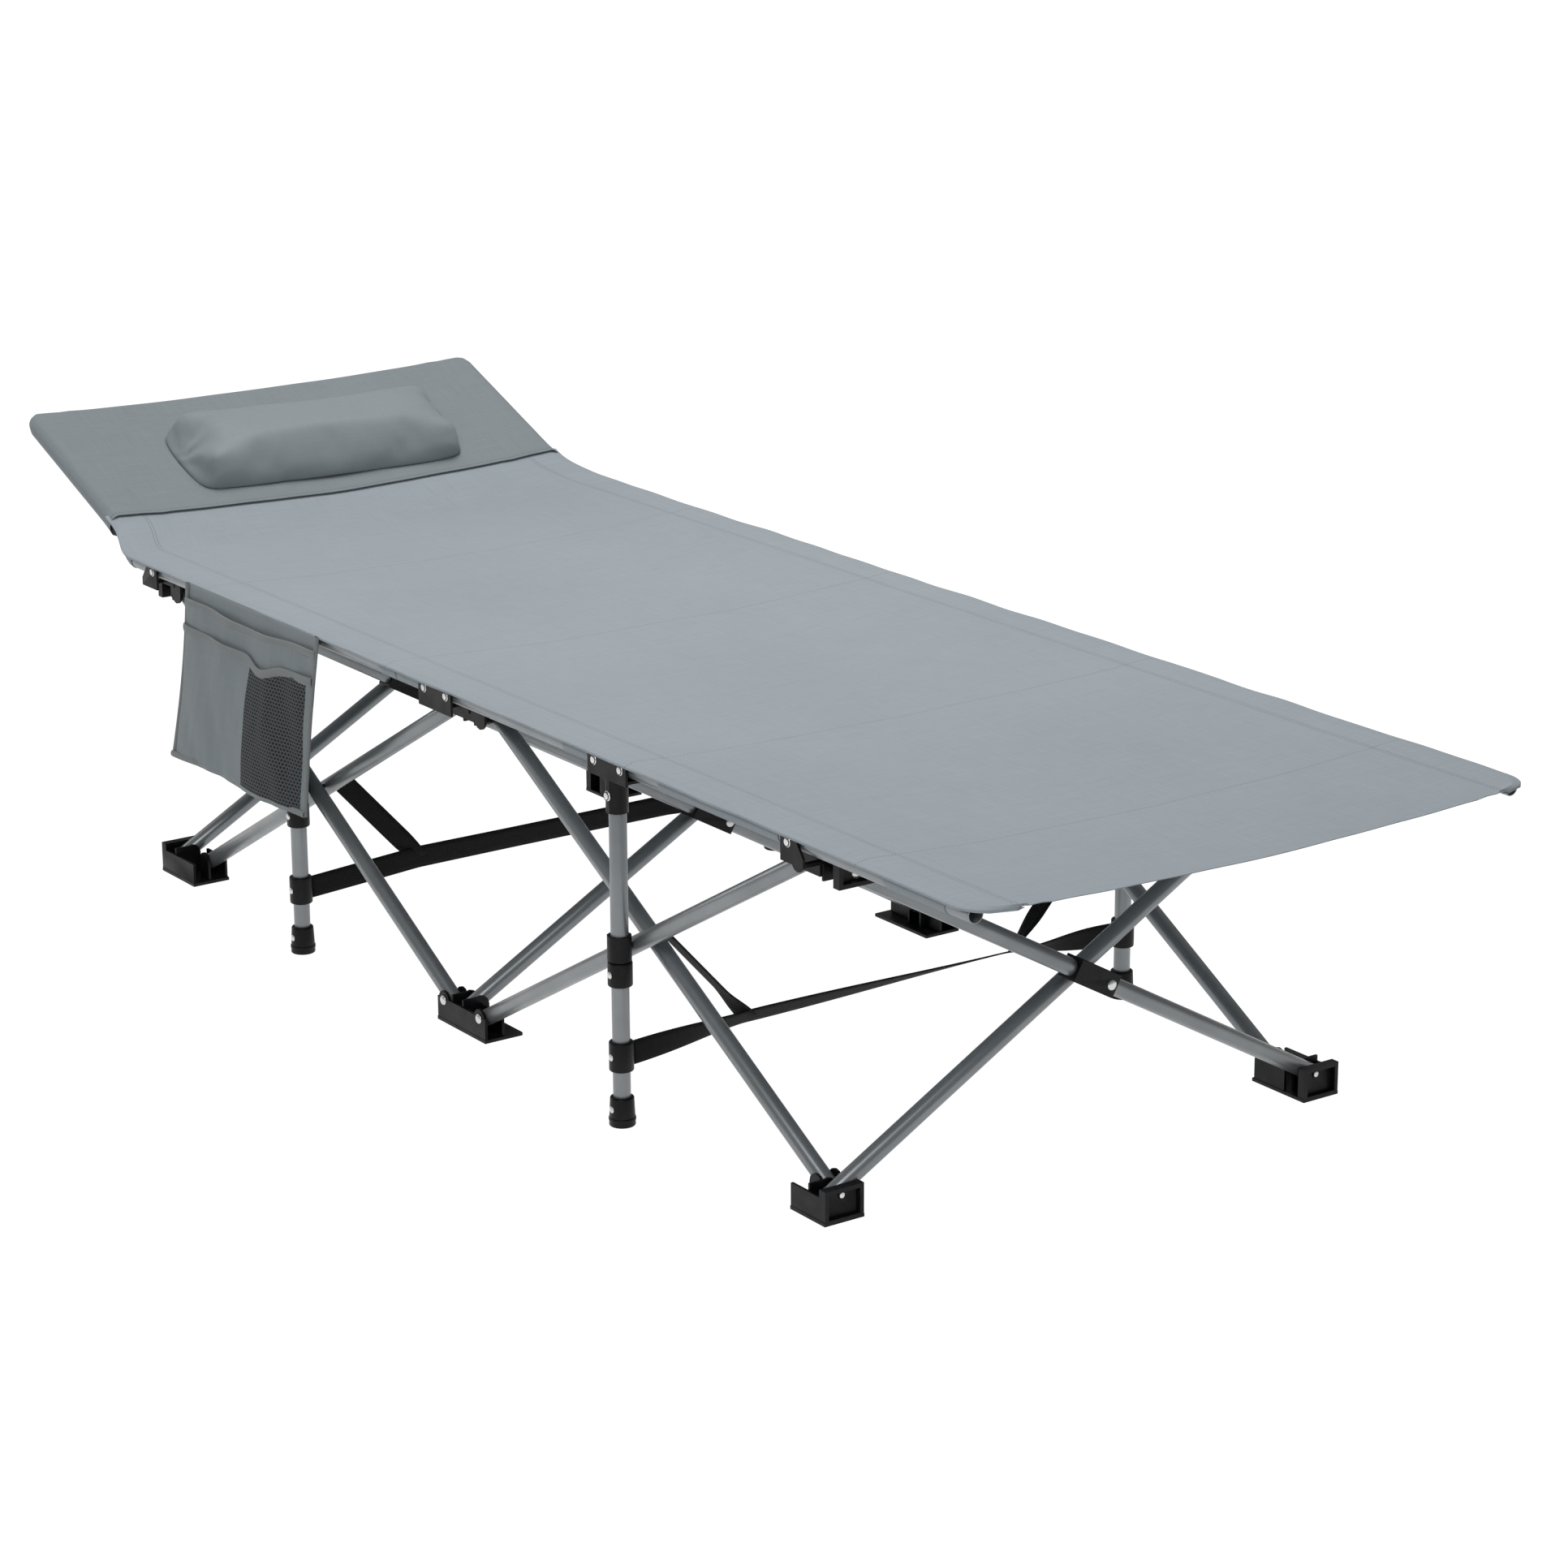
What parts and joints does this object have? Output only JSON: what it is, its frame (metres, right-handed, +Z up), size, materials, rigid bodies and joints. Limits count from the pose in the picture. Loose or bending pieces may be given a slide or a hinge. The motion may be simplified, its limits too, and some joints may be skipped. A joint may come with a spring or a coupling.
{
  "type": "folding camp bed",
  "caption": "Folding camp bed on scissor legs: a sheet over two hinged rails, raised at the head, with a pillow and a side bag.",
  "frame": {"origin": "on the ground, at the centre of the bed's outline seen from above", "axes": "+Z up; X along the bed, its raised head at -X and its foot at +X; -Y is the side that the bag hangs on"},
  "size_m": [2.1356, 0.7841, 0.5647],
  "materials": {
    "silver_tube": "satin silver-grey paint",
    "black_moulding": "satin black moulding",
    "sheet_cloth": "plain blue-grey woven cloth",
    "trim_cloth": "darker blue-grey coated cloth",
    "webbing": "black webbing"
  },
  "bodies": {
    "base": {"shoe_near_middle": "black_moulding"},
    "cross_rise_middle": {"rising_tube_middle": "silver_tube"},
    "cross_fall_middle": {"falling_tube_middle": "silver_tube", "cross_clamp_middle": "black_moulding"},
    "top_far_middle": {"bracket_far_middle": "black_moulding"},
    "foot_far_middle": {"shoe_far_middle": "black_moulding"},
    "top_near_middle": {"bracket_near_middle": "black_moulding"},
    "outer_near_head": {"outer_tube_near_head": "silver_tube"},
    "inner_near_head": {"inner_tube_near_head": "silver_tube"},
    "top_near_head": {"bracket_near_head": "black_moulding"},
    "foot_near_head": {"shoe_near_head": "black_moulding"},
    "collar_near_head": {"sliding_collar_near_head": "black_moulding"},
    "post_body_near_head": {"post_near_head": "silver_tube", "post_bracket_near_head": "black_moulding", "side_bag": "trim_cloth", "strap_head": "webbing"},
    "rail_body_near_head": {"rail_near_head": "silver_tube", "sheet_head": "sheet_cloth", "pillow": "trim_cloth"},
    "rail_body_near_mid_head": {"rail_near_mid_head": "silver_tube", "sheet_mid_head": "sheet_cloth"},
    "outer_near_foot": {"outer_tube_near_foot": "silver_tube"},
    "inner_near_foot": {"inner_tube_near_foot": "silver_tube"},
    "top_near_foot": {"bracket_near_foot": "black_moulding"},
    "foot_near_foot": {"shoe_near_foot": "black_moulding"},
    "collar_near_foot": {"sliding_collar_near_foot": "black_moulding"},
    "post_body_near_foot": {"post_near_foot": "silver_tube", "post_bracket_near_foot": "black_moulding", "strap_foot": "webbing"},
    "rail_body_near_mid_foot": {"rail_near_mid_foot": "silver_tube", "sheet_mid_foot": "sheet_cloth"},
    "rail_body_near_foot": {"rail_near_foot": "silver_tube", "sheet_foot": "sheet_cloth"},
    "outer_far_head": {"outer_tube_far_head": "silver_tube"},
    "inner_far_head": {"inner_tube_far_head": "silver_tube"},
    "top_far_head": {"bracket_far_head": "black_moulding"},
    "foot_far_head": {"shoe_far_head": "black_moulding"},
    "collar_far_head": {"sliding_collar_far_head": "black_moulding"},
    "post_body_far_head": {"post_far_head": "silver_tube", "post_bracket_far_head": "black_moulding"},
    "rail_body_far_head": {"rail_far_head": "silver_tube"},
    "rail_body_far_mid_head": {"rail_far_mid_head": "silver_tube"},
    "outer_far_foot": {"outer_tube_far_foot": "silver_tube"},
    "inner_far_foot": {"inner_tube_far_foot": "silver_tube"},
    "top_far_foot": {"bracket_far_foot": "black_moulding"},
    "foot_far_foot": {"shoe_far_foot": "black_moulding"},
    "collar_far_foot": {"sliding_collar_far_foot": "black_moulding"},
    "post_body_far_foot": {"post_far_foot": "silver_tube", "post_bracket_far_foot": "black_moulding"},
    "rail_body_far_mid_foot": {"rail_far_mid_foot": "silver_tube"},
    "rail_body_far_foot": {"rail_far_foot": "silver_tube"},
    "cross_fall_head": {"falling_tube_head": "silver_tube", "cross_clamp_head": "black_moulding"},
    "cross_rise_head": {"rising_tube_head": "silver_tube"},
    "cross_fall_foot": {"falling_tube_foot": "silver_tube", "cross_clamp_foot": "black_moulding"},
    "cross_rise_foot": {"rising_tube_foot": "silver_tube"}
  },
  "joints": [
    {"name": "fold", "type": "hinge", "parent": "base", "child": "cross_rise_middle", "pos_m": [0.0325, -0.30485, 0.0275], "axis": [1, 0, 0], "range_deg": [0, 54.66], "deforming": ["sheet_head", "sheet_mid_head", "sheet_mid_foot", "sheet_foot", "pillow", "strap_head", "strap_foot"]},
    {"name": "middle_cross_pin", "type": "hinge", "parent": "cross_rise_middle", "child": "cross_fall_middle", "pos_m": [0.045, 0.01715, 0.2085], "axis": [-1, 0, 0], "range_deg": [0, 109.32]},
    {"name": "far_middle_bracket_pin", "type": "hinge", "parent": "cross_rise_middle", "child": "top_far_middle", "pos_m": [0.0325, 0.33915, 0.3895], "axis": [-1, 0, 0], "range_deg": [0, 54.66]},
    {"name": "far_middle_shoe_pin", "type": "hinge", "parent": "cross_fall_middle", "child": "foot_far_middle", "pos_m": [0.0575, 0.33915, 0.0275], "axis": [1, 0, 0], "range_deg": [0, 54.66]},
    {"name": "near_middle_bracket_pin", "type": "hinge", "parent": "cross_fall_middle", "child": "top_near_middle", "pos_m": [0.0575, -0.30485, 0.3895], "axis": [1, 0, 0], "range_deg": [0, 54.66]},
    {"name": "near_head_outer_tube_foot_pin", "type": "hinge", "parent": "base", "child": "outer_near_head", "pos_m": [0.005, -0.31785, 0.0275], "axis": [0, 1, 0], "range_deg": [0, 54.66]},
    {"name": "near_head_inner_tube_top_pin", "type": "hinge", "parent": "top_near_middle", "child": "inner_near_head", "pos_m": [0.005, -0.29535, 0.3895], "axis": [0, -1, 0], "range_deg": [0, 54.66]},
    {"name": "near_head_bracket_pin", "type": "hinge", "parent": "outer_near_head", "child": "top_near_head", "pos_m": [-0.639, -0.31785, 0.3895], "axis": [0, -1, 0], "range_deg": [0, 54.66]},
    {"name": "near_head_shoe_pin", "type": "hinge", "parent": "inner_near_head", "child": "foot_near_head", "pos_m": [-0.639, -0.29535, 0.0275], "axis": [0, 1, 0], "range_deg": [0, 54.66]},
    {"name": "near_head_crossing_pin", "type": "hinge", "parent": "outer_near_head", "child": "collar_near_head", "pos_m": [-0.317, -0.31785, 0.2085], "axis": [0, -1, 0], "range_deg": [0, 54.66]},
    {"name": "near_head_post_slide", "type": "slide", "parent": "collar_near_head", "child": "post_body_near_head", "axis": [0, 0, -1], "range_m": [0, 0.12433]},
    {"name": "near_head_rail_pin", "type": "hinge", "parent": "post_body_near_head", "child": "rail_body_near_head", "pos_m": [-0.343, -0.34285, 0.42], "axis": [0, 1, 0], "range_deg": [0, 84.74]},
    {"name": "near_mid_head_rail_pin", "type": "hinge", "parent": "post_body_near_head", "child": "rail_body_near_mid_head", "pos_m": [-0.291, -0.34285, 0.42], "axis": [0, -1, 0], "range_deg": [0, 84.74]},
    {"name": "near_foot_outer_tube_foot_pin", "type": "hinge", "parent": "base", "child": "outer_near_foot", "pos_m": [0.085, -0.31785, 0.0275], "axis": [0, -1, 0], "range_deg": [0, 54.66]},
    {"name": "near_foot_inner_tube_top_pin", "type": "hinge", "parent": "top_near_middle", "child": "inner_near_foot", "pos_m": [0.085, -0.29535, 0.3895], "axis": [0, 1, 0], "range_deg": [0, 54.66]},
    {"name": "near_foot_bracket_pin", "type": "hinge", "parent": "outer_near_foot", "child": "top_near_foot", "pos_m": [0.729, -0.31785, 0.3895], "axis": [0, 1, 0], "range_deg": [0, 54.66]},
    {"name": "near_foot_shoe_pin", "type": "hinge", "parent": "inner_near_foot", "child": "foot_near_foot", "pos_m": [0.729, -0.29535, 0.0275], "axis": [0, -1, 0], "range_deg": [0, 54.66]},
    {"name": "near_foot_crossing_pin", "type": "hinge", "parent": "outer_near_foot", "child": "collar_near_foot", "pos_m": [0.407, -0.31785, 0.2085], "axis": [0, 1, 0], "range_deg": [0, 54.66]},
    {"name": "near_foot_post_slide", "type": "slide", "parent": "collar_near_foot", "child": "post_body_near_foot", "axis": [0, 0, -1], "range_m": [0, 0.12433]},
    {"name": "near_mid_foot_rail_pin", "type": "hinge", "parent": "post_body_near_foot", "child": "rail_body_near_mid_foot", "pos_m": [0.381, -0.34285, 0.42], "axis": [0, 1, 0], "range_deg": [0, 84.74]},
    {"name": "near_foot_rail_pin", "type": "hinge", "parent": "post_body_near_foot", "child": "rail_body_near_foot", "pos_m": [0.433, -0.34285, 0.42], "axis": [0, -1, 0], "range_deg": [0, 84.74]},
    {"name": "far_head_outer_tube_foot_pin", "type": "hinge", "parent": "foot_far_middle", "child": "outer_far_head", "pos_m": [0.005, 0.35215, 0.0275], "axis": [0, 1, 0], "range_deg": [0, 54.66]},
    {"name": "far_head_inner_tube_top_pin", "type": "hinge", "parent": "top_far_middle", "child": "inner_far_head", "pos_m": [0.005, 0.32965, 0.3895], "axis": [0, -1, 0], "range_deg": [0, 54.66]},
    {"name": "far_head_bracket_pin", "type": "hinge", "parent": "outer_far_head", "child": "top_far_head", "pos_m": [-0.639, 0.35215, 0.3895], "axis": [0, -1, 0], "range_deg": [0, 54.66]},
    {"name": "far_head_shoe_pin", "type": "hinge", "parent": "inner_far_head", "child": "foot_far_head", "pos_m": [-0.639, 0.32965, 0.0275], "axis": [0, 1, 0], "range_deg": [0, 54.66]},
    {"name": "far_head_crossing_pin", "type": "hinge", "parent": "outer_far_head", "child": "collar_far_head", "pos_m": [-0.317, 0.35215, 0.2085], "axis": [0, -1, 0], "range_deg": [0, 54.66]},
    {"name": "far_head_post_slide", "type": "slide", "parent": "collar_far_head", "child": "post_body_far_head", "axis": [0, 0, -1], "range_m": [0, 0.12433]},
    {"name": "far_head_rail_pin", "type": "hinge", "parent": "post_body_far_head", "child": "rail_body_far_head", "pos_m": [-0.343, 0.37715, 0.42], "axis": [0, 1, 0], "range_deg": [0, 84.74]},
    {"name": "far_mid_head_rail_pin", "type": "hinge", "parent": "post_body_far_head", "child": "rail_body_far_mid_head", "pos_m": [-0.291, 0.37715, 0.42], "axis": [0, -1, 0], "range_deg": [0, 84.74]},
    {"name": "far_foot_outer_tube_foot_pin", "type": "hinge", "parent": "foot_far_middle", "child": "outer_far_foot", "pos_m": [0.085, 0.35215, 0.0275], "axis": [0, -1, 0], "range_deg": [0, 54.66]},
    {"name": "far_foot_inner_tube_top_pin", "type": "hinge", "parent": "top_far_middle", "child": "inner_far_foot", "pos_m": [0.085, 0.32965, 0.3895], "axis": [0, 1, 0], "range_deg": [0, 54.66]},
    {"name": "far_foot_bracket_pin", "type": "hinge", "parent": "outer_far_foot", "child": "top_far_foot", "pos_m": [0.729, 0.35215, 0.3895], "axis": [0, 1, 0], "range_deg": [0, 54.66]},
    {"name": "far_foot_shoe_pin", "type": "hinge", "parent": "inner_far_foot", "child": "foot_far_foot", "pos_m": [0.729, 0.32965, 0.0275], "axis": [0, -1, 0], "range_deg": [0, 54.66]},
    {"name": "far_foot_crossing_pin", "type": "hinge", "parent": "outer_far_foot", "child": "collar_far_foot", "pos_m": [0.407, 0.35215, 0.2085], "axis": [0, 1, 0], "range_deg": [0, 54.66]},
    {"name": "far_foot_post_slide", "type": "slide", "parent": "collar_far_foot", "child": "post_body_far_foot", "axis": [0, 0, -1], "range_m": [0, 0.12433]},
    {"name": "far_mid_foot_rail_pin", "type": "hinge", "parent": "post_body_far_foot", "child": "rail_body_far_mid_foot", "pos_m": [0.381, 0.37715, 0.42], "axis": [0, 1, 0], "range_deg": [0, 84.74]},
    {"name": "far_foot_rail_pin", "type": "hinge", "parent": "post_body_far_foot", "child": "rail_body_far_foot", "pos_m": [0.433, 0.37715, 0.42], "axis": [0, -1, 0], "range_deg": [0, 84.74]},
    {"name": "head_falling_tube_pin", "type": "hinge", "parent": "top_near_head", "child": "cross_fall_head", "pos_m": [-0.6665, -0.30485, 0.3895], "axis": [-1, 0, 0], "range_deg": [0, 54.66]},
    {"name": "head_rising_tube_pin", "type": "hinge", "parent": "foot_near_head", "child": "cross_rise_head", "pos_m": [-0.6915, -0.30485, 0.0275], "axis": [1, 0, 0], "range_deg": [0, 54.66]},
    {"name": "foot_falling_tube_pin", "type": "hinge", "parent": "top_near_foot", "child": "cross_fall_foot", "pos_m": [0.7815, -0.30485, 0.3895], "axis": [-1, 0, 0], "range_deg": [0, 54.66]},
    {"name": "foot_rising_tube_pin", "type": "hinge", "parent": "foot_near_foot", "child": "cross_rise_foot", "pos_m": [0.7565, -0.30485, 0.0275], "axis": [1, 0, 0], "range_deg": [0, 54.66]}
  ],
  "couplings": [
    {"joint": "middle_cross_pin", "follows": "fold", "ratio": 2},
    {"joint": "far_middle_bracket_pin", "follows": "fold", "ratio": 1},
    {"joint": "far_middle_shoe_pin", "follows": "fold", "ratio": 1},
    {"joint": "near_middle_bracket_pin", "follows": "fold", "ratio": 1},
    {"joint": "near_head_outer_tube_foot_pin", "follows": "fold", "ratio": 1},
    {"joint": "near_head_inner_tube_top_pin", "follows": "fold", "ratio": 1},
    {"joint": "near_head_bracket_pin", "follows": "fold", "ratio": 1},
    {"joint": "near_head_shoe_pin", "follows": "fold", "ratio": 1},
    {"joint": "near_head_crossing_pin", "follows": "fold", "ratio": 1},
    {"joint": "near_head_post_slide", "follows": "fold", "m_per_rad": 0.13032},
    {"joint": "near_head_rail_pin", "follows": "fold", "ratio": 1.5503},
    {"joint": "near_mid_head_rail_pin", "follows": "fold", "ratio": 1.5503},
    {"joint": "near_foot_outer_tube_foot_pin", "follows": "fold", "ratio": 1},
    {"joint": "near_foot_inner_tube_top_pin", "follows": "fold", "ratio": 1},
    {"joint": "near_foot_bracket_pin", "follows": "fold", "ratio": 1},
    {"joint": "near_foot_shoe_pin", "follows": "fold", "ratio": 1},
    {"joint": "near_foot_crossing_pin", "follows": "fold", "ratio": 1},
    {"joint": "near_foot_post_slide", "follows": "fold", "m_per_rad": 0.13032},
    {"joint": "near_mid_foot_rail_pin", "follows": "fold", "ratio": 1.5503},
    {"joint": "near_foot_rail_pin", "follows": "fold", "ratio": 1.5503},
    {"joint": "far_head_outer_tube_foot_pin", "follows": "fold", "ratio": 1},
    {"joint": "far_head_inner_tube_top_pin", "follows": "fold", "ratio": 1},
    {"joint": "far_head_bracket_pin", "follows": "fold", "ratio": 1},
    {"joint": "far_head_shoe_pin", "follows": "fold", "ratio": 1},
    {"joint": "far_head_crossing_pin", "follows": "fold", "ratio": 1},
    {"joint": "far_head_post_slide", "follows": "fold", "m_per_rad": 0.13032},
    {"joint": "far_head_rail_pin", "follows": "fold", "ratio": 1.5503},
    {"joint": "far_mid_head_rail_pin", "follows": "fold", "ratio": 1.5503},
    {"joint": "far_foot_outer_tube_foot_pin", "follows": "fold", "ratio": 1},
    {"joint": "far_foot_inner_tube_top_pin", "follows": "fold", "ratio": 1},
    {"joint": "far_foot_bracket_pin", "follows": "fold", "ratio": 1},
    {"joint": "far_foot_shoe_pin", "follows": "fold", "ratio": 1},
    {"joint": "far_foot_crossing_pin", "follows": "fold", "ratio": 1},
    {"joint": "far_foot_post_slide", "follows": "fold", "m_per_rad": 0.13032},
    {"joint": "far_mid_foot_rail_pin", "follows": "fold", "ratio": 1.5503},
    {"joint": "far_foot_rail_pin", "follows": "fold", "ratio": 1.5503},
    {"joint": "head_falling_tube_pin", "follows": "fold", "ratio": 1},
    {"joint": "head_rising_tube_pin", "follows": "fold", "ratio": 1},
    {"joint": "foot_falling_tube_pin", "follows": "fold", "ratio": 1},
    {"joint": "foot_rising_tube_pin", "follows": "fold", "ratio": 1}
  ]
}
